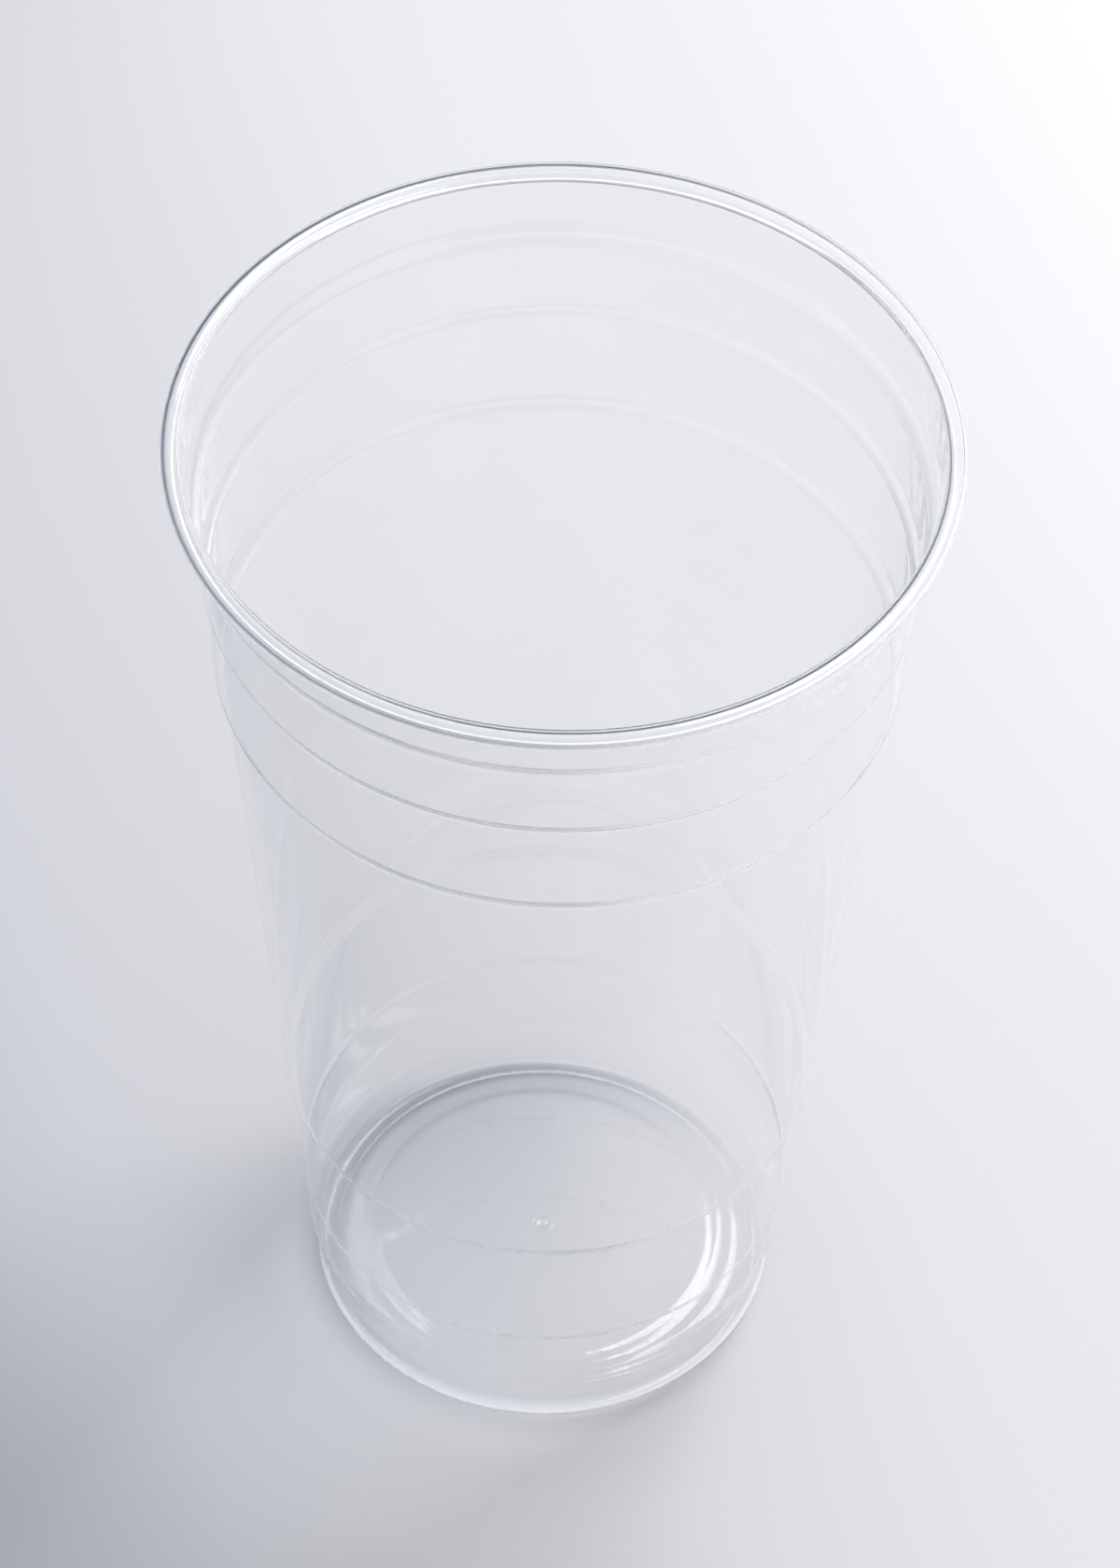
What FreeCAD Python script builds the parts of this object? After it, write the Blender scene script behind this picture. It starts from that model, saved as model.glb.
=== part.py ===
"""Clear tumbler for cold drinks, formed in one piece from a thin plastic sheet.

Millimetres, +Z up. The origin is on the tumbler's axis, in the plane that its foot stands on.
"""
import FreeCAD, Part
import Sketcher
import math
import os

# Driving sizes. Bands are the smooth stretches of wall and rings are the narrow ledges between
# them, both counted from the foot up. A band's flare is how much its radius grows over its height,
# and a ring's depth is how far it steps outwards. The heel ring is the one with a long, soft face.
SIZES = [
    ("wall_sheet", 0.35, "thickness of the wall and of the rolled lip"),
    ("base_sheet", 0.45, "thickness of the base"),
    ("foot_radius", 31.45, "outside of the wall where it meets the foot"),
    ("foot_band_height", 7.2, ""),
    ("foot_band_flare", 0.1, ""),
    ("heel_ring_depth", 1.4, "the soft shoulder over the foot"),
    ("heel_band_height", 7.95, ""),
    ("heel_band_flare", 0.05, ""),
    ("lower_ring_depth", 0.5, ""),
    ("lower_band_height", 20.5, ""),
    ("lower_band_flare", 1.1, ""),
    ("shoulder_ring_depth", 1.1, ""),
    ("body_band_height", 79.8, "the long plain wall"),
    ("body_band_flare", 6.9, ""),
    ("grip_ring_depth", 1.05, ""),
    ("grip_band_height", 14.6, ""),
    ("grip_band_flare", 0.35, ""),
    ("upper_ring_depth", 0.85, ""),
    ("upper_band_height", 10.7, ""),
    ("upper_band_flare", 0.25, ""),
    ("neck_ring_depth", 1.5, "the stacking ledge under the lip"),
    ("neck_band_height", 7.8, "up to the middle of the rolled lip"),
    ("neck_band_flare", 0.55, ""),
    ("ring_slope", 41.0, "degrees between a ring's face and the vertical"),
    ("ring_round", 0.45, "radius on the edges of every ring but the heel's"),
    ("heel_slope", 14.5, "degrees between the heel ring's long face and the vertical"),
    ("heel_ring_round", 4.0, "radius on the edges of the heel ring"),
    ("curl_radius", 1.3, "outside radius of the rolled lip"),
    ("curl_turn", 295.0, "degrees that the lip is rolled through"),
    ("heel_round", 1.2, "radius between the wall and the foot"),
    ("contact_width", 0.9, "flat ring that the tumbler stands on"),
    ("channel_rise", 2.0, "from the foot up to the ledge of the base"),
    ("ledge_width", 3.4, "ledge between the channel and the panel"),
    ("panel_step", 0.55, "from the ledge up to the middle panel"),
    ("base_slope", 56.0, "degrees between the base's sloped faces and the floor"),
    ("base_round", 0.3, "radius on the edges of the base"),
    ("pip_radius", 1.2, "small moulded mark in the middle of the base"),
    ("pip_top_radius", 0.7, ""),
    ("pip_height", 0.5, ""),
]
BANDS = ["foot", "heel", "lower", "body", "grip", "upper", "neck"]
RINGS = ["heel", "lower", "shoulder", "grip", "upper", "neck"]
VALUES = {name: value for name, value, note in SIZES}

# A face of a ring or of the base that lies askew keeps the sheet's thickness when its inner edge is
# moved along the bisector of the corner, which is half the slope.
RING_RUN = "Sizes.{0}_ring_depth / tan(Sizes.{1} * 1 deg)"
RING_SHIFT = "Sizes.wall_sheet * tan(Sizes.ring_slope * 0.5 deg)"
BASE_SHIFT = "Sizes.base_sheet * tan(Sizes.base_slope * 0.5 deg)"
CHANNEL_RUN = "Sizes.channel_rise / tan(Sizes.base_slope * 1 deg)"
PANEL_RUN = "Sizes.panel_step / tan(Sizes.base_slope * 1 deg)"

# Sketcher's own numbers for a point of a piece of geometry, and for the sketch's origin.
START, END, CENTRE = range(1, 4)
ORIGIN = (-1, START)
VERTICAL_AXIS = -2


def add_sheet(doc):
    """The spreadsheet that holds every driving size."""
    sheet = doc.addObject("Spreadsheet::Sheet", "Sizes")
    for row, (name, value, note) in enumerate(SIZES, start=1):
        sheet.set("A%d" % row, name)
        sheet.set("B%d" % row, str(value))
        sheet.set("C%d" % row, note)
        sheet.setAlias("B%d" % row, name)
    doc.recompute()
    return sheet


def origin_plane(body, role):
    """One of the body's own origin planes, found by its role."""
    return next(feature for feature in body.Origin.OriginFeatures if feature.Role == role)


def wall_steps():
    """The wall from the foot up: (outward, upward, their expressions) for each band and ring."""
    steps = []
    for band, ring in zip(BANDS, RINGS + [None]):
        flare = band + "_band_flare"
        height = band + "_band_height"
        steps.append((VALUES[flare], VALUES[height], "Sizes." + flare, "Sizes." + height))
        if ring:
            slope = "heel_slope" if ring == "heel" else "ring_slope"
            depth = VALUES[ring + "_ring_depth"]
            run = depth / math.tan(math.radians(VALUES[slope]))
            steps.append((depth, run, "Sizes.%s_ring_depth" % ring, RING_RUN.format(ring, slope)))
    return steps


def base_steps():
    """The base from the contact ring inwards: (inward, upward, their expressions)."""
    slope = math.tan(math.radians(VALUES["base_slope"]))
    rise = VALUES["channel_rise"]
    step = VALUES["panel_step"]
    return [
        (rise / slope, rise, CHANNEL_RUN, "Sizes.channel_rise"),
        (VALUES["ledge_width"], 0.0, "Sizes.ledge_width", None),
        (step / slope, step, PANEL_RUN, "Sizes.panel_step"),
    ]


class Section:
    """A closed outline in the XZ plane, drawn point by point with its sizes bound to the sheet."""

    def __init__(self, body, name):
        self.sketch = body.newObject("Sketcher::SketchObject", name)
        self.sketch.AttachmentSupport = [(origin_plane(body, "XZ_Plane"), "")]
        self.sketch.MapMode = "FlatFace"

    def line(self, start, end):
        """A straight edge between two (radius, height) points; gives its number back."""
        points = [FreeCAD.Vector(radius, height, 0) for radius, height in (start, end)]
        return self.sketch.addGeometry(Part.LineSegment(*points), False)

    def arc(self, centre, radius, first, last):
        """An arc, anticlockwise between two angles in degrees; gives its number back."""
        middle = FreeCAD.Vector(centre[0], centre[1], 0)
        circle = Part.Circle(middle, FreeCAD.Vector(0, 0, 1), radius)
        bend = Part.ArcOfCircle(circle, math.radians(first), math.radians(last))
        return self.sketch.addGeometry(bend, False)

    def join(self, first, second):
        """Two points, each (geometry, point), become one."""
        self.sketch.addConstraint(Sketcher.Constraint("Coincident", *first, *second))

    def bind(self, kind, first, second, value, expression):
        """The distance from one point to another, along X or Y, follows an expression."""
        rule = Sketcher.Constraint(kind, *first, *second, value)
        number = self.sketch.addConstraint(rule)
        self.sketch.setExpression("Constraints[%d]" % number, expression)

    def span(self, edge, across, up, across_rule, up_rule, backwards=False):
        """An edge's run along both axes, measured outwards and upwards."""
        first, second = (edge, START), (edge, END)
        if backwards:
            first, second = second, first
        self.bind("DistanceX", first, second, across, across_rule)
        if up_rule:
            self.bind("DistanceY", first, second, up, up_rule)
        else:
            self.sketch.addConstraint(Sketcher.Constraint("Horizontal", edge))

    def corners(self, edges):
        """(radius, height) of the point where each edge starts."""
        points = [self.sketch.getPoint(edge, START) for edge in edges]
        return [(point.x, point.y) for point in points]


def draw_section(body):
    """The sheet's section, from the axis out under the base, up the wall, round the lip and back."""
    section = Section(body, "sheet_section")
    wall = VALUES["wall_sheet"]
    base = VALUES["base_sheet"]
    foot = VALUES["foot_radius"]
    curl = VALUES["curl_radius"]
    heel = VALUES["heel_round"] + VALUES["contact_width"]
    ring_shift = wall * math.tan(math.radians(VALUES["ring_slope"]) / 2)
    base_shift = base * math.tan(math.radians(VALUES["base_slope"]) / 2)

    # Outside of the wall, from the foot's corner to the middle of the rolled lip.
    point = (foot, 0.0)
    outside = []
    for across, up, across_rule, up_rule in wall_steps():
        above = (point[0] + across, point[1] + up)
        edge = section.line(point, above)
        section.span(edge, across, up, across_rule, up_rule)
        if outside:
            section.join((outside[-1], END), (edge, START))
        outside.append(edge)
        point = above
    top = point
    section.bind("DistanceX", ORIGIN, (outside[0], START), foot, "Sizes.foot_radius")
    section.sketch.addConstraint(Sketcher.Constraint("PointOnObject", outside[0], START, -1))

    # Rolled lip: both sides of the sheet turn about one centre, and a cut edge closes them.
    middle = (top[0] - wall + curl, top[1])
    last_angle = 180.0 - VALUES["curl_turn"]
    inner_bend = section.arc(middle, curl - wall, last_angle, 180.0)
    outer_bend = section.arc(middle, curl, last_angle, 180.0)
    aim = (math.cos(math.radians(last_angle)), math.sin(math.radians(last_angle)))
    rim_end = [(middle[0] + reach * aim[0], middle[1] + reach * aim[1]) for reach in (curl - wall, curl)]
    cut_edge = section.line(*rim_end)
    section.join((outside[-1], END), (inner_bend, END))
    section.join((inner_bend, CENTRE), (outer_bend, CENTRE))
    section.join((inner_bend, START), (cut_edge, START))
    section.join((cut_edge, END), (outer_bend, START))
    section.bind("DistanceX", (inner_bend, END), (inner_bend, CENTRE), curl - wall,
                 "Sizes.curl_radius - Sizes.wall_sheet")
    level = Sketcher.Constraint("Horizontal", inner_bend, END, inner_bend, CENTRE)
    section.sketch.addConstraint(level)
    section.bind("DistanceX", (outer_bend, END), (inner_bend, END), wall, "Sizes.wall_sheet")
    level = Sketcher.Constraint("Horizontal", outer_bend, END, inner_bend, END)
    section.sketch.addConstraint(level)
    through = Sketcher.Constraint("PointOnObject", inner_bend, CENTRE, cut_edge)
    section.sketch.addConstraint(through)
    turned = Sketcher.Constraint("Angle", cut_edge, math.radians(last_angle))
    number = section.sketch.addConstraint(turned)
    section.sketch.setExpression("Constraints[%d]" % number, "180 deg - Sizes.curl_turn * 1 deg")

    # Inside of the wall, from the lip down. Its rings lie a little higher than the outside's.
    point = (top[0] - wall, top[1])
    inside = []
    steps = wall_steps()
    for number, (across, up, across_rule, up_rule) in enumerate(reversed(steps)):
        if number == 0:
            up = up - ring_shift
            up_rule = up_rule + " - " + RING_SHIFT
        below = (point[0] - across, point[1] - up)
        if number == len(steps) - 1:
            below = (foot - wall, base)
        edge = section.line(point, below)
        section.join((inside[-1], END) if inside else (outer_bend, END), (edge, START))
        if number < len(steps) - 1:
            section.span(edge, across, up, across_rule, up_rule, backwards=True)
        inside.append(edge)
        point = below
    section.bind("DistanceX", ORIGIN, (inside[-1], END), foot - wall,
                 "Sizes.foot_radius - Sizes.wall_sheet")
    section.bind("DistanceY", ORIGIN, (inside[-1], END), base, "Sizes.base_sheet")

    # Underside of the base, from the foot's corner inwards to the axis.
    contact_inside = (foot - heel, 0.0)
    contact = section.line((foot, 0.0), contact_inside)
    section.join((outside[0], START), (contact, START))
    section.span(contact, heel, 0.0, "Sizes.heel_round + Sizes.contact_width", None, backwards=True)
    under = draw_base(section, contact, contact_inside)

    # Top of the base, the same outline one sheet higher, and the axis that closes the section.
    channel_inside = (contact_inside[0] + base_shift, base)
    channel = section.line(point, channel_inside)
    section.join((inside[-1], END), (channel, START))
    section.sketch.addConstraint(Sketcher.Constraint("Horizontal", channel))
    section.bind("DistanceX", (contact, END), (channel, END), base_shift, BASE_SHIFT)
    floor = draw_base(section, channel, channel_inside)
    panel_heights = [section.sketch.getPoint(panel, END).y for panel in (under[-1], floor[-1])]
    axis = section.line((0.0, panel_heights[0]), (0.0, panel_heights[1]))
    section.join((under[-1], END), (axis, START))
    section.join((floor[-1], END), (axis, END))

    # The corners that get rounded, in groups of one radius each.
    heel_ring = outside[1:3] + inside[-2:]
    return section.sketch, {
        "ring_edges": section.corners(outside[3:] + inside[1:-2]),
        "heel_ring_edges": section.corners(heel_ring),
        "base_edges": section.corners(under + floor),
        "heel_outside": section.corners([contact]),
        "heel_inside": section.corners([channel]),
    }


def draw_base(section, before, point):
    """One side of the base, from the end of an edge in to the axis; gives its edges back."""
    edges = []
    for across, up, across_rule, up_rule in base_steps():
        inner = (point[0] - across, point[1] + up)
        edge = section.line(point, inner)
        section.join((before, END), (edge, START))
        section.bind("DistanceX", (edge, END), (edge, START), across, across_rule)
        if up_rule:
            section.bind("DistanceY", (edge, START), (edge, END), up, up_rule)
        else:
            section.sketch.addConstraint(Sketcher.Constraint("Horizontal", edge))
        edges.append(edge)
        before = edge
        point = inner
    panel = section.line(point, (0.0, point[1]))
    section.join((before, END), (panel, START))
    section.sketch.addConstraint(Sketcher.Constraint("Horizontal", panel))
    section.sketch.addConstraint(Sketcher.Constraint("PointOnObject", panel, END, VERTICAL_AXIS))
    return edges + [panel]


def edge_names(shape, corners, tolerance=1e-4):
    """The names of the circular edges that the section's corners made."""
    names = []
    for number, edge in enumerate(shape.Edges, start=1):
        if not isinstance(edge.Curve, Part.Circle):
            continue
        found = (edge.Curve.Radius, edge.Curve.Center.z)
        if any(math.dist(found, corner) < tolerance for corner in corners):
            names.append("Edge%d" % number)
    return names


def add_round(doc, body, name, corners, rule):
    """A fillet on the edges that the section's corners made."""
    carrier = body.Tip
    edges = edge_names(carrier.Shape, corners)
    if len(edges) != len(corners):
        raise RuntimeError("%s: %d edges found for %d corners" % (name, len(edges), len(corners)))
    fillet = body.newObject("PartDesign::Fillet", name)
    fillet.Base = (carrier, edges)
    fillet.setExpression("Radius", rule)
    doc.recompute()
    return fillet


def build_tumbler(doc):
    """The whole tumbler: one turned section, its rounded edges and the mark in its base."""
    body = doc.addObject("PartDesign::Body", "Tumbler")
    body.Label = "tumbler"
    sketch, corners = draw_section(body)
    doc.recompute()

    turned = body.newObject("PartDesign::Revolution", "turned_sheet")
    turned.Profile = (sketch, [""])
    turned.ReferenceAxis = (sketch, ["V_Axis"])
    turned.Angle = 360.0
    doc.recompute()

    rules = {
        "ring_edges": "Sizes.ring_round",
        "heel_ring_edges": "Sizes.heel_ring_round",
        "base_edges": "Sizes.base_round",
        "heel_outside": "Sizes.heel_round",
        "heel_inside": "min(Sizes.heel_round - Sizes.wall_sheet; Sizes.contact_width)",
    }
    for name, rule in rules.items():
        add_round(doc, body, name, corners[name], rule)

    pip = body.newObject("PartDesign::AdditiveCone", "base_mark")
    pip.AttachmentSupport = [(origin_plane(body, "XY_Plane"), "")]
    pip.MapMode = "FlatFace"
    pip.setExpression("AttachmentOffset.Base.z",
                      "Sizes.channel_rise + Sizes.panel_step + Sizes.base_sheet / 2")
    pip.setExpression("Radius1", "Sizes.pip_radius")
    pip.setExpression("Radius2", "Sizes.pip_top_radius")
    pip.setExpression("Height", "Sizes.pip_height + Sizes.base_sheet / 2")
    doc.recompute()
    return body


def check_objects(doc, bodies):
    """Stop before anything is written if an object failed or a shape isn't one sound solid."""
    for item in doc.Objects:
        if "Invalid" in item.State or "Error" in item.State:
            raise RuntimeError("%s failed: %s" % (item.Name, item.State))
    for body in bodies:
        shape = body.Shape
        if shape.isNull() or not shape.isValid() or len(shape.Solids) != 1:
            raise RuntimeError("%s is not one sound solid" % body.Label)


doc = FreeCAD.newDocument("tumbler")
add_sheet(doc)
bodies = [build_tumbler(doc)]
check_objects(doc, bodies)
os.makedirs("parts", exist_ok=True)
for body in bodies:
    body.Shape.exportStep("parts/%s.step" % body.Label)
    box = body.Shape.BoundBox
    print("%s: %.2f x %.2f x %.2f mm, %.0f mm3"
          % (body.Label, box.XLength, box.YLength, box.ZLength, body.Shape.Volume))
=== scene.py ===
"""The clear plastic tumbler, dressed and lit. Metres, +Z up, the tumbler's foot on z = 0."""
import math

import bmesh
import bpy
from mathutils import Matrix, Vector


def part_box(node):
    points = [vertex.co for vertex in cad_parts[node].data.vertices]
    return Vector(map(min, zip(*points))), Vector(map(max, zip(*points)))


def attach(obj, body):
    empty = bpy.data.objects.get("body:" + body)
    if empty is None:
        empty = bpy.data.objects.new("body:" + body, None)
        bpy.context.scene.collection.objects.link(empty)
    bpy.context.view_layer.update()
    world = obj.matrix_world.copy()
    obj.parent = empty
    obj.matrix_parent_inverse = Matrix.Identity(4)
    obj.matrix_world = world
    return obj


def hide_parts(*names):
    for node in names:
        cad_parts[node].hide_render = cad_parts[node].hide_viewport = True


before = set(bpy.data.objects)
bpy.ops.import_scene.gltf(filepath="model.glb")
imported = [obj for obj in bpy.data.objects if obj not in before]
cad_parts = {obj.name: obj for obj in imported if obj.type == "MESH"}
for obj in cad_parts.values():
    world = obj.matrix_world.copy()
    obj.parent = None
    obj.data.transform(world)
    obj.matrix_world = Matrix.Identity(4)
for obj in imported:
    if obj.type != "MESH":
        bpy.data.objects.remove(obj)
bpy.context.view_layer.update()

# The tumbler. The real cup is one sheet of clear PET, heated and drawn down into a mould that gives
# it the rings, the heel and the raised base; its lip is then rolled outwards while warm. Every
# length of its outline is in millimetres until the finished mesh is brought to metres.
MILLIMETRE = 0.001
cup_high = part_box("tumbler")[1] / MILLIMETRE
lip_radius = cup_high.x
cup_height = cup_high.z

wall_sheet = 0.35
base_sheet = 0.45
lip_sheet = 0.52
foot_radius = 31.45
curl_radius = 1.3
curl_turn = math.radians(295.0)
ring_slope = math.radians(41.0)
heel_slope = math.radians(14.5)
channel_slope = math.radians(48.0)
panel_slope = math.radians(24.0)

# Height and flare of each smooth band, and how far and how steeply the ring above it steps out,
# from the foot up. The neck is the last band, and it takes up what is left under the rolled lip.
bands_and_rings = [
    (7.2, 0.1, 1.4, heel_slope),
    (7.95, 0.05, 0.5, ring_slope),
    (20.5, 1.1, 1.1, ring_slope),
    (79.8, 6.9, 1.05, ring_slope),
    (14.6, 0.35, 0.85, ring_slope),
    (10.7, 0.25, 1.5, ring_slope),
]
heel_round = 1.2
contact_width = 0.9
channel_rise = 2.0
ledge_width = 3.05
panel_step = 0.55
pip_radius = 1.2
pip_top_radius = 0.7
pip_height = 0.5


def wall_corners(start, stop):
    """The wall's corners from its foot to the middle of the rolled lip, as (radius, height)."""
    corners = [start]
    for band_height, flare, ring_depth, slope in bands_and_rings:
        radius, height = corners[-1]
        corners.append((radius + flare, height + band_height))
        radius, height = corners[-1]
        corners.append((radius + ring_depth, height + ring_depth / math.tan(slope)))
    return corners + [stop]


def base_corners(start, axis_radius=0.0):
    """The base's corners from the contact ring inwards, as (radius, height)."""
    radius, height = start
    corners = [start]
    for run, rise in (
        (channel_rise / math.tan(channel_slope), channel_rise),
        (ledge_width, 0.0),
        (panel_step / math.tan(panel_slope), panel_step),
    ):
        radius, height = radius - run, height + rise
        corners.append((radius, height))
    return corners + [(axis_radius, height)]


def add_corners(outline, corners):
    """Vertices at (radius, height), joined in a row by edges."""
    points = [outline.verts.new((radius, 0.0, height)) for radius, height in corners]
    for first, second in zip(points, points[1:]):
        outline.edges.new((first, second))
    return points


def round_corners(outline, points, reach, segments):
    """Round the outline at these points, from a reach before each one to a reach after it."""
    bmesh.ops.bevel(
        outline, geom=points, offset=reach, offset_type="OFFSET", segments=segments,
        profile=0.5, affect="VERTICES", material=-1,
    )


def roll_lip(outline, start, centre, steps):
    """Carry one side of the sheet round the lip; gives the last point back."""
    turned = bmesh.ops.spin(
        outline, geom=[start], cent=centre, axis=(0.0, 1.0, 0.0),
        angle=curl_turn, steps=steps, use_merge=False, use_duplicate=False,
    )
    return turned["geom_last"][0]


ring_shift = wall_sheet * math.tan(ring_slope / 2)
base_shift = base_sheet * math.tan(channel_slope / 2)
lip_middle = Vector((lip_radius - curl_radius, 0.0, cup_height - curl_radius))
neck_inside = lip_middle.x - curl_radius
contact_inside = foot_radius - heel_round - contact_width

outline = bmesh.new()
neck_outside = (neck_inside + lip_sheet, lip_middle.z)
outside = add_corners(outline, wall_corners((foot_radius, 0.0), neck_outside))
underside = add_corners(outline, base_corners((contact_inside, 0.0)))
inside = wall_corners((foot_radius - wall_sheet, ring_shift), (neck_inside, lip_middle.z))
inside[0] = (foot_radius - wall_sheet, base_sheet)
inside = add_corners(outline, inside)
floor_corners = base_corners((contact_inside + base_shift, base_sheet), pip_radius)
pip_top = floor_corners[-1][1] + pip_height
topside = add_corners(outline, floor_corners + [(pip_top_radius, pip_top), (0.0, pip_top)])
outline.edges.new((outside[0], underside[0]))
outline.edges.new((inside[0], topside[0]))

# The curl's two skins, and the cut end that joins them.
inner_end = roll_lip(outline, outside[-1], lip_middle, steps=18)
outer_end = roll_lip(outline, inside[-1], lip_middle, steps=24)
outline.edges.new((inner_end, outer_end))
cut_reach = 0.2
round_corners(outline, [inner_end, outer_end], cut_reach, 4)

# Each ring is rounded over nearly half of its slant, so that it has no flat left.
slant_share = 0.47
longest_reach = 1.5
segments_by_ring = [3, 4, 5, 5, 5, 5]
for ring, (_, _, ring_depth, slope) in enumerate(bands_and_rings):
    ends = slice(2 * ring + 1, 2 * ring + 3)
    reach = min(slant_share * ring_depth / math.sin(slope), longest_reach)
    round_corners(outline, outside[ends] + inside[ends], reach, segments_by_ring[ring])
base_reach = 0.32
ledge_reach = 1.3
panel_reach = 0.6
round_corners(outline, underside[:1] + topside[:1] + topside[4:-1], base_reach, 3)
round_corners(outline, underside[1:2] + topside[1:2], ledge_reach, 5)
round_corners(outline, underside[2:4] + topside[2:4], panel_reach, 4)
round_corners(outline, [outside[0]], heel_round, 6)
round_corners(outline, [inside[0]], heel_round - wall_sheet, 6)

# The mesh. The outline is spun once round the tumbler's axis into one closed skin of plastic.
turn_steps = 400
bmesh.ops.spin(
    outline, geom=outline.verts[:] + outline.edges[:], cent=(0.0, 0.0, 0.0), axis=(0.0, 0.0, 1.0),
    angle=math.tau, steps=turn_steps, use_merge=True, use_duplicate=False,
)
bmesh.ops.remove_doubles(outline, verts=outline.verts[:], dist=1e-4)
bmesh.ops.scale(outline, verts=outline.verts[:], vec=(MILLIMETRE, MILLIMETRE, MILLIMETRE))
bmesh.ops.recalc_face_normals(outline, faces=outline.faces[:])
for face in outline.faces:
    face.smooth = True


def add_object(name, shape):
    """The finished shape as an object in the scene."""
    mesh = bpy.data.meshes.new(name)
    shape.to_mesh(mesh)
    shape.free()
    thing = bpy.data.objects.new(name, mesh)
    bpy.context.scene.collection.objects.link(thing)
    return thing


tumbler = add_object("tumbler_sheet", outline)
shading = tumbler.modifiers.new("even_shading", "WEIGHTED_NORMAL")
shading.mode = "FACE_AREA"


def add_node(tree, kind, feeds=None, **settings):
    """A node with these settings. Each input named in feeds gets a link or a value of its own."""
    node = tree.nodes.new(kind)
    for name, setting in settings.items():
        setattr(node, name, setting)
    for name, feed in (feeds or {}).items():
        if isinstance(feed, bpy.types.NodeSocket):
            tree.links.new(feed, node.inputs[name])
        else:
            node.inputs[name].default_value = feed
    return node


def add_ramp(tree, source, stops, interpolation="LINEAR"):
    """The colour that a value reads off stops of (position, colour), lowest position first."""
    node = add_node(tree, "ShaderNodeValToRGB", {"Fac": source})
    ramp = node.color_ramp
    ramp.interpolation = interpolation
    for element, (position, colour) in zip(ramp.elements, (stops[0], stops[-1])):
        element.position = position
        element.color = (*colour, 1.0)
    for position, colour in stops[1:-1]:
        ramp.elements.new(position).color = (*colour, 1.0)
    return node.outputs["Color"]


def add_range(tree, source, source_range, result_range=(0.0, 1.0), interpolation="LINEAR"):
    """A value carried from one range to another, and held at its ends."""
    feeds = {
        "Value": source,
        "From Min": source_range[0],
        "From Max": source_range[1],
        "To Min": result_range[0],
        "To Max": result_range[1],
    }
    node = add_node(tree, "ShaderNodeMapRange", feeds, interpolation_type=interpolation)
    return node.outputs["Result"]


def add_maths(tree, operation, *terms):
    """One step of arithmetic on links and numbers."""
    return add_node(tree, "ShaderNodeMath", dict(enumerate(terms)), operation=operation).outputs["Value"]


def add_reach(tree, source, direction):
    """How far a vector reaches along a direction."""
    feeds = {0: source, 1: direction}
    return add_node(tree, "ShaderNodeVectorMath", feeds, operation="DOT_PRODUCT").outputs["Value"]


def add_mix(tree, factor, first, second, blend="MIX"):
    """Two colours mixed by a factor."""
    feeds = {"Factor": factor, "A": first, "B": second}
    mix = add_node(tree, "ShaderNodeMix", feeds, data_type="RGBA", blend_type=blend)
    return mix.outputs["Result"]


# Clear PET: glossy and clear, finely waved where the sheet was bent hardest, at the foot and the lip.
pet = bpy.data.materials.new("clear_pet")
pet.use_nodes = True
tree = pet.node_tree
tree.nodes.clear()
place = add_node(tree, "ShaderNodeTexCoord").outputs["Object"]
parts = add_node(tree, "ShaderNodeSeparateXYZ", {"Vector": place})
share_of_height = add_range(tree, parts.outputs["Z"], (0.0, cup_height * MILLIMETRE))
white = (1.0, 1.0, 1.0)
black = (0.0, 0.0, 0.0)
waved_ends = add_ramp(
    tree, share_of_height, [(0.02, white), (0.04, black), (0.98, black), (0.985, white)],
)
waves = add_node(tree, "ShaderNodeTexNoise", {"Vector": place, "Scale": 260.0, "Detail": 2.0})
drawn = add_node(
    tree, "ShaderNodeBump",
    {"Strength": waved_ends, "Distance": 0.00004, "Height": waves.outputs["Fac"]},
)

# The lip's cut end, by its distance from the axis and its height, is rough, nicked and whitened.
cut_inset = 0.44
cut_half_width = 0.24
cut_drop = 0.6
clear_roughness = 0.02
cut_roughness = 0.45
level = add_node(tree, "ShaderNodeVectorMath", {0: place, 1: (1.0, 1.0, 0.0)}, operation="MULTIPLY")
outward = add_node(
    tree, "ShaderNodeVectorMath", {0: level.outputs["Vector"]}, operation="LENGTH",
).outputs["Value"]
cut_radius = (lip_middle.x - cut_inset) * MILLIMETRE
at_cut = add_maths(tree, "COMPARE", outward, cut_radius, cut_half_width * MILLIMETRE)
under_curl = add_maths(tree, "LESS_THAN", parts.outputs["Z"], (lip_middle.z - cut_drop) * MILLIMETRE)
cut_face = add_maths(tree, "MULTIPLY", at_cut, under_curl)
roughness = add_range(tree, cut_face, (0.0, 1.0), (clear_roughness, cut_roughness))
nicks = add_node(tree, "ShaderNodeTexNoise", {"Vector": place, "Scale": 120.0})
whitened = add_range(tree, nicks.outputs["Fac"], (0.35, 0.5), (0.1, 0.4))
see_through = add_maths(tree, "SUBTRACT", 1.0, add_maths(tree, "MULTIPLY", cut_face, whitened))

# A faint glow stands in for the light that leaves the sheet at the lip's cut edge and at the heel. Its
# strengths, and its stop at the heel's front half, were set against the photo.
cut_glow = 0.24
heel_glow = 0.10
heel_inset = heel_round - 0.1
heel_turn = 8.0
at_heel = add_maths(tree, "GREATER_THAN", outward, (foot_radius - heel_inset) * MILLIMETRE)
up_heel = add_ramp(
    tree, share_of_height, [(0.003, (0.2, 0.2, 0.2)), (0.008, white), (0.015, white), (0.028, black)],
)
heel_front = add_range(
    tree, parts.outputs["Y"], (heel_turn * MILLIMETRE, -heel_turn * MILLIMETRE), (0.0, heel_glow),
)
heel_light = add_maths(tree, "MULTIPLY", add_maths(tree, "MULTIPLY", up_heel, at_heel), heel_front)
edge_light = add_maths(tree, "MULTIPLY_ADD", cut_face, cut_glow, heel_light)
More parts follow.
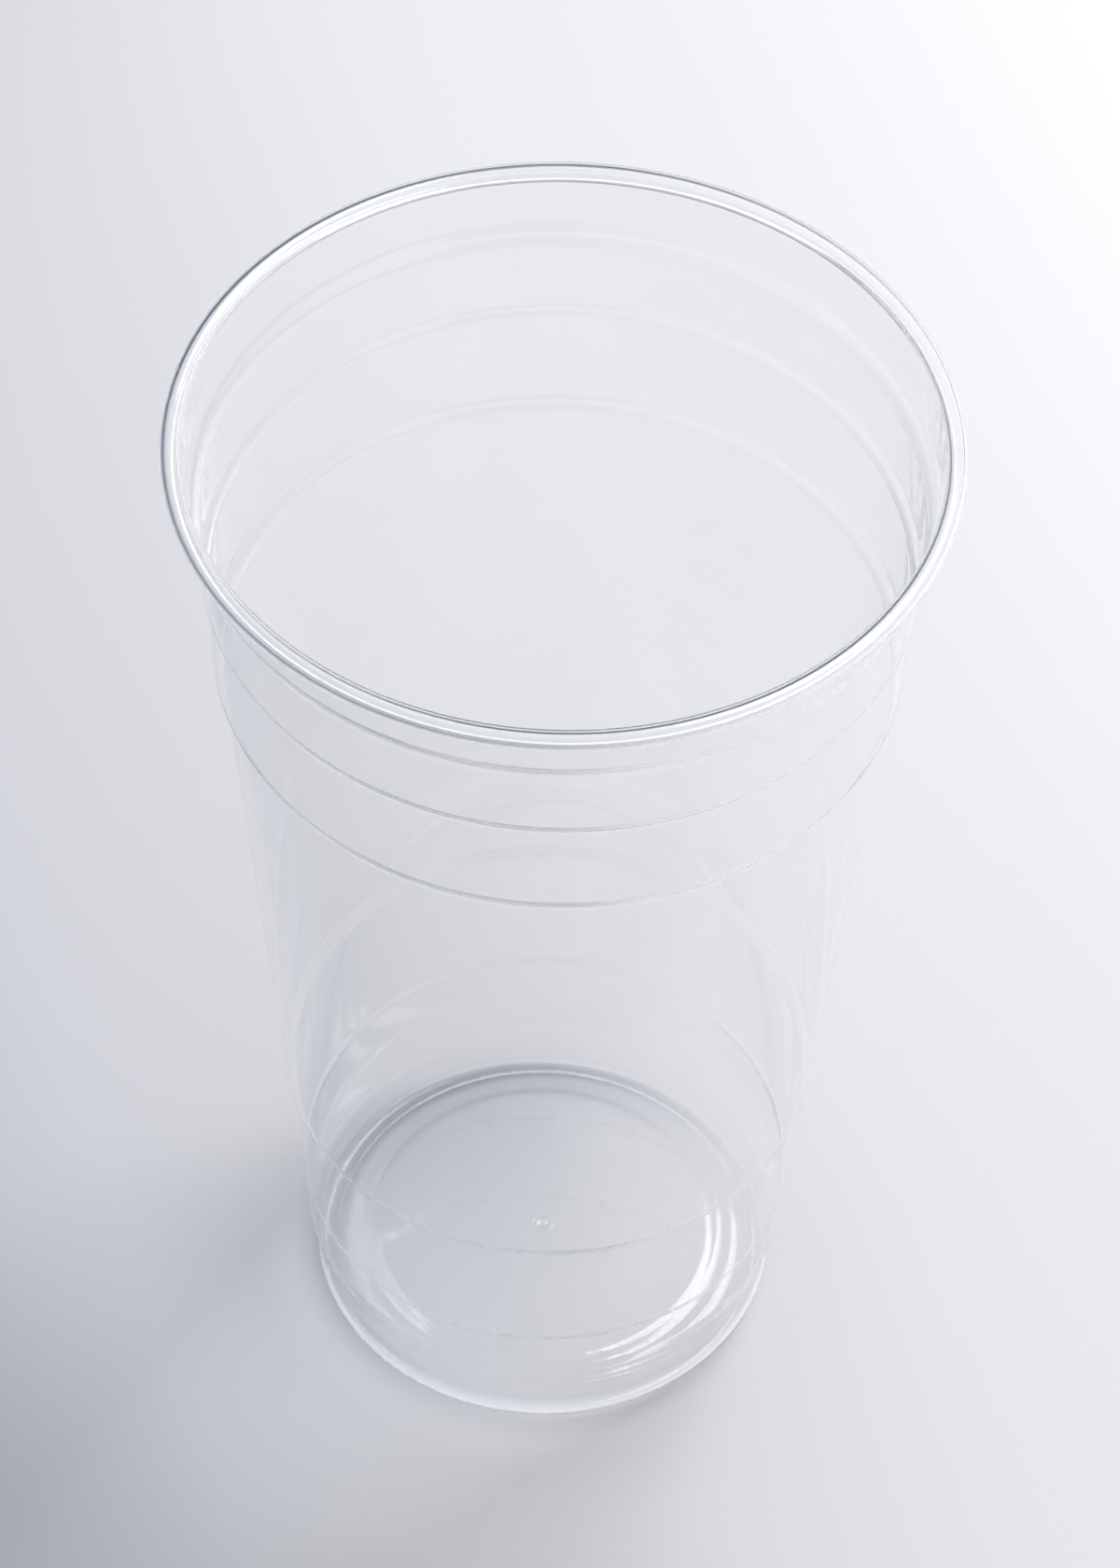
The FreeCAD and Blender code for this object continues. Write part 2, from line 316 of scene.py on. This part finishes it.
plastic = add_node(tree, "ShaderNodeBsdfPrincipled", {
    "Base Color": (0.995, 0.997, 1.0, 1.0),
    "Roughness": roughness,
    "IOR": 1.57,
    "Transmission Weight": see_through,
    "Normal": drawn.outputs["Normal"],
    "Emission Color": (0.97, 0.98, 1.0, 1.0),
    "Emission Strength": edge_light,
})

# What the plastic lets through to the table: less where light meets it at a slant, and less through
# the foot and the channel. The back left lets through least. All of it was set against the
# photo, and the darker side isn't the side away from the lamp.
# This tint paints the cup's shadow on the table: by slant, and by place on the cup, which is painted
# shadow.
facing = add_node(tree, "ShaderNodeLayerWeight", {"Blend": 0.5}).outputs["Facing"]
by_slant = add_ramp(tree, facing, [(0.45, (0.994, 0.995, 0.997)), (1.0, (0.70, 0.71, 0.725))])
# Painted shadow by height on the cup: darkest through the foot and the channel, a little darker up to
# mid-height.
painted_shadow_by_height = add_ramp(tree, share_of_height, [
    (0.006, (0.78, 0.80, 0.845)),
    (0.0125, (0.90, 0.907, 0.92)),
    (0.0195, (0.90, 0.907, 0.92)),
    (0.03, (0.965, 0.968, 0.974)),
    (0.25, (0.97, 0.973, 0.978)),
    (0.45, white),
])
# Painted shadow by side: the shadow is lifted towards the front right, so the back left stays darkest.
front_right = add_range(
    tree, add_reach(tree, place, (0.80, -0.45, 0.0)), (-22.0 * MILLIMETRE, 14.0 * MILLIMETRE),
)
painted_shadow_by_side = add_mix(tree, front_right, painted_shadow_by_height, (1.0, 1.0, 1.0, 1.0))
cast_shadow_tint = add_mix(tree, 1.0, by_slant, painted_shadow_by_side, blend="MULTIPLY")
clear = add_node(tree, "ShaderNodeBsdfTransparent", {"Color": cast_shadow_tint})
path = add_node(tree, "ShaderNodeLightPath")
lets_light = add_node(tree, "ShaderNodeMixShader", {
    "Fac": path.outputs["Is Shadow Ray"],
    1: plastic.outputs["BSDF"],
    2: clear.outputs["BSDF"],
})
add_node(tree, "ShaderNodeOutputMaterial", {"Surface": lets_light.outputs["Shader"]})
pet.cycles.emission_sampling = "NONE"
tumbler.data.materials.append(pet)

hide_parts("tumbler")
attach(tumbler, "root")

# The table, a pale matt sheet that lies flat and reaches far past the view. Its colour holds most of
# the photo's fall of light: brighter to the right and back, and cooler and darker to the front, the
# left and far off.
table_half_width = 3.0
table_shape = bmesh.new()
bmesh.ops.create_grid(table_shape, x_segments=1, y_segments=1, size=table_half_width)
table = add_object("table", table_shape)
paper = bpy.data.materials.new("pale_table")
paper.use_nodes = True
tree = paper.node_tree
place = add_node(tree, "ShaderNodeTexCoord").outputs["Object"]
to_window = add_range(tree, add_reach(tree, place, (0.92, 0.32, 0.0)), (-0.10, 0.17))
shade = add_ramp(tree, to_window, [
    (0.0, (0.46, 0.485, 0.54)),
    (0.17, (0.645, 0.655, 0.705)),
    (0.37, (0.695, 0.70, 0.735)),
    (0.55, (0.765, 0.767, 0.80)),
    (0.70, (0.778, 0.777, 0.81)),
    (1.0, (0.865, 0.862, 0.893)),
])
frontwards = add_reach(tree, place, (-0.45, -0.89, 0.0))
dusk = add_range(tree, frontwards, (0.030, 0.080), (1.0, 0.79), "SMOOTHSTEP")
shaded = add_node(tree, "ShaderNodeVectorMath", {0: shade, "Scale": dusk}, operation="SCALE")
lit_middle = (0.30, 0.10, 0.0)
far = add_node(tree, "ShaderNodeVectorMath", {0: place, 1: lit_middle}, operation="DISTANCE")
fade = add_range(tree, far.outputs["Value"], (0.38, 0.70), interpolation="SMOOTHSTEP")
table_colour = add_mix(tree, fade, shaded.outputs["Vector"], (0.20, 0.24, 0.30, 1.0))
surface = tree.nodes["Principled BSDF"]
surface.inputs["Roughness"].default_value = 0.6
surface.inputs["Specular IOR Level"].default_value = 0.2
tree.links.new(table_colour, surface.inputs["Base Color"])
table.data.materials.append(paper)

# Soft light: a window-like lamp high behind and to the right, and a wide softbox overhead. They
# light the table, while the plastic mirrors the room round them.


def add_lamp(name, width, power, location, target):
    """A square lamp that faces its target and isn't seen in the plastic."""
    lamp_data = bpy.data.lights.new(name, "AREA")
    lamp_data.shape = "RECTANGLE"
    lamp_data.size = width
    lamp_data.size_y = width
    lamp_data.energy = power
    lamp_data.cycles.use_multiple_importance_sampling = False
    lamp = bpy.data.objects.new(name, lamp_data)
    lamp.location = location
    lamp.rotation_euler = (Vector(target) - Vector(location)).to_track_quat("-Z", "Y").to_euler()
    lamp.visible_glossy = False
    lamp.visible_transmission = False
    bpy.context.scene.collection.objects.link(lamp)


add_lamp("window", 0.5, 13.0, (0.50, 0.55, 1.15), (0.0, 0.0, 0.08))
add_lamp("softbox", 2.4, 21.5, (0.35, 0.10, 1.7), (0.35, 0.10, 0.0))

# The room round it: bright above, dim and blue low down at the back and front, lighter to the left
# and bright to the right, with the window as a far brighter patch. Only mirrored and seen rays see it.
room = bpy.data.worlds.new("room")
bpy.context.scene.world = room
room.cycles_visibility.diffuse = False
room.use_nodes = True
tree = room.node_tree
direction = add_node(tree, "ShaderNodeTexCoord").outputs["Generated"]
dim_blue = (0.07, 0.115, 0.18)
around = add_range(tree, add_reach(tree, direction, (0.98, 0.17, 0.0)), (-1.0, 1.0))
low_side = add_ramp(
    tree, around,
    [(0.0, (0.44, 0.46, 0.50)), (0.35, dim_blue), (0.58, dim_blue), (0.82, (0.90, 0.90, 0.92))],
    interpolation="EASE",
)
height = add_node(tree, "ShaderNodeSeparateXYZ", {"Vector": direction}).outputs["Z"]
upwards = add_range(tree, height, (0.18, 0.85), interpolation="SMOOTHSTEP")
walls = add_mix(tree, upwards, low_side, (1.05, 1.06, 1.09, 1.0))
to_pane = add_reach(tree, direction, (0.365, 0.40, 0.84))
pane = add_range(tree, to_pane, (0.945, 0.97), interpolation="SMOOTHSTEP")
room_colour = add_mix(tree, pane, walls, (6.5, 6.5, 6.5, 1.0))
tree.links.new(room_colour, tree.nodes["Background"].inputs["Color"])

# The camera: a long lens looking down at the tumbler from the front, turned a little to the right
# and rolled, as the photographer held it.
camera_data = bpy.data.cameras.new("camera")
camera_data.sensor_width = 36.0
camera_data.lens = 150.0
camera_data.clip_start = 0.01
camera = bpy.data.objects.new("camera", camera_data)
bpy.context.scene.collection.objects.link(camera)
bpy.context.scene.camera = camera
camera.location = (0.0, -0.5542, 0.7347)
yaw = Matrix.Rotation(math.radians(-0.068), 3, "Z")
tilt = Matrix.Rotation(math.radians(90.0 - 49.024), 3, "X")
roll = Matrix.Rotation(math.radians(1.61), 3, "Z")
camera.rotation_euler = (yaw @ tilt @ roll).to_euler()

# Light is followed through every skin of the plastic, many times over in the curl of the lip.
bpy.context.scene.view_settings.view_transform = "Standard"
cycles = bpy.context.scene.cycles
cycles.max_bounces = 96
cycles.transmission_bounces = 96
cycles.glossy_bounces = 96
cycles.transparent_max_bounces = 32
cycles.caustics_refractive = False
cycles.caustics_reflective = False
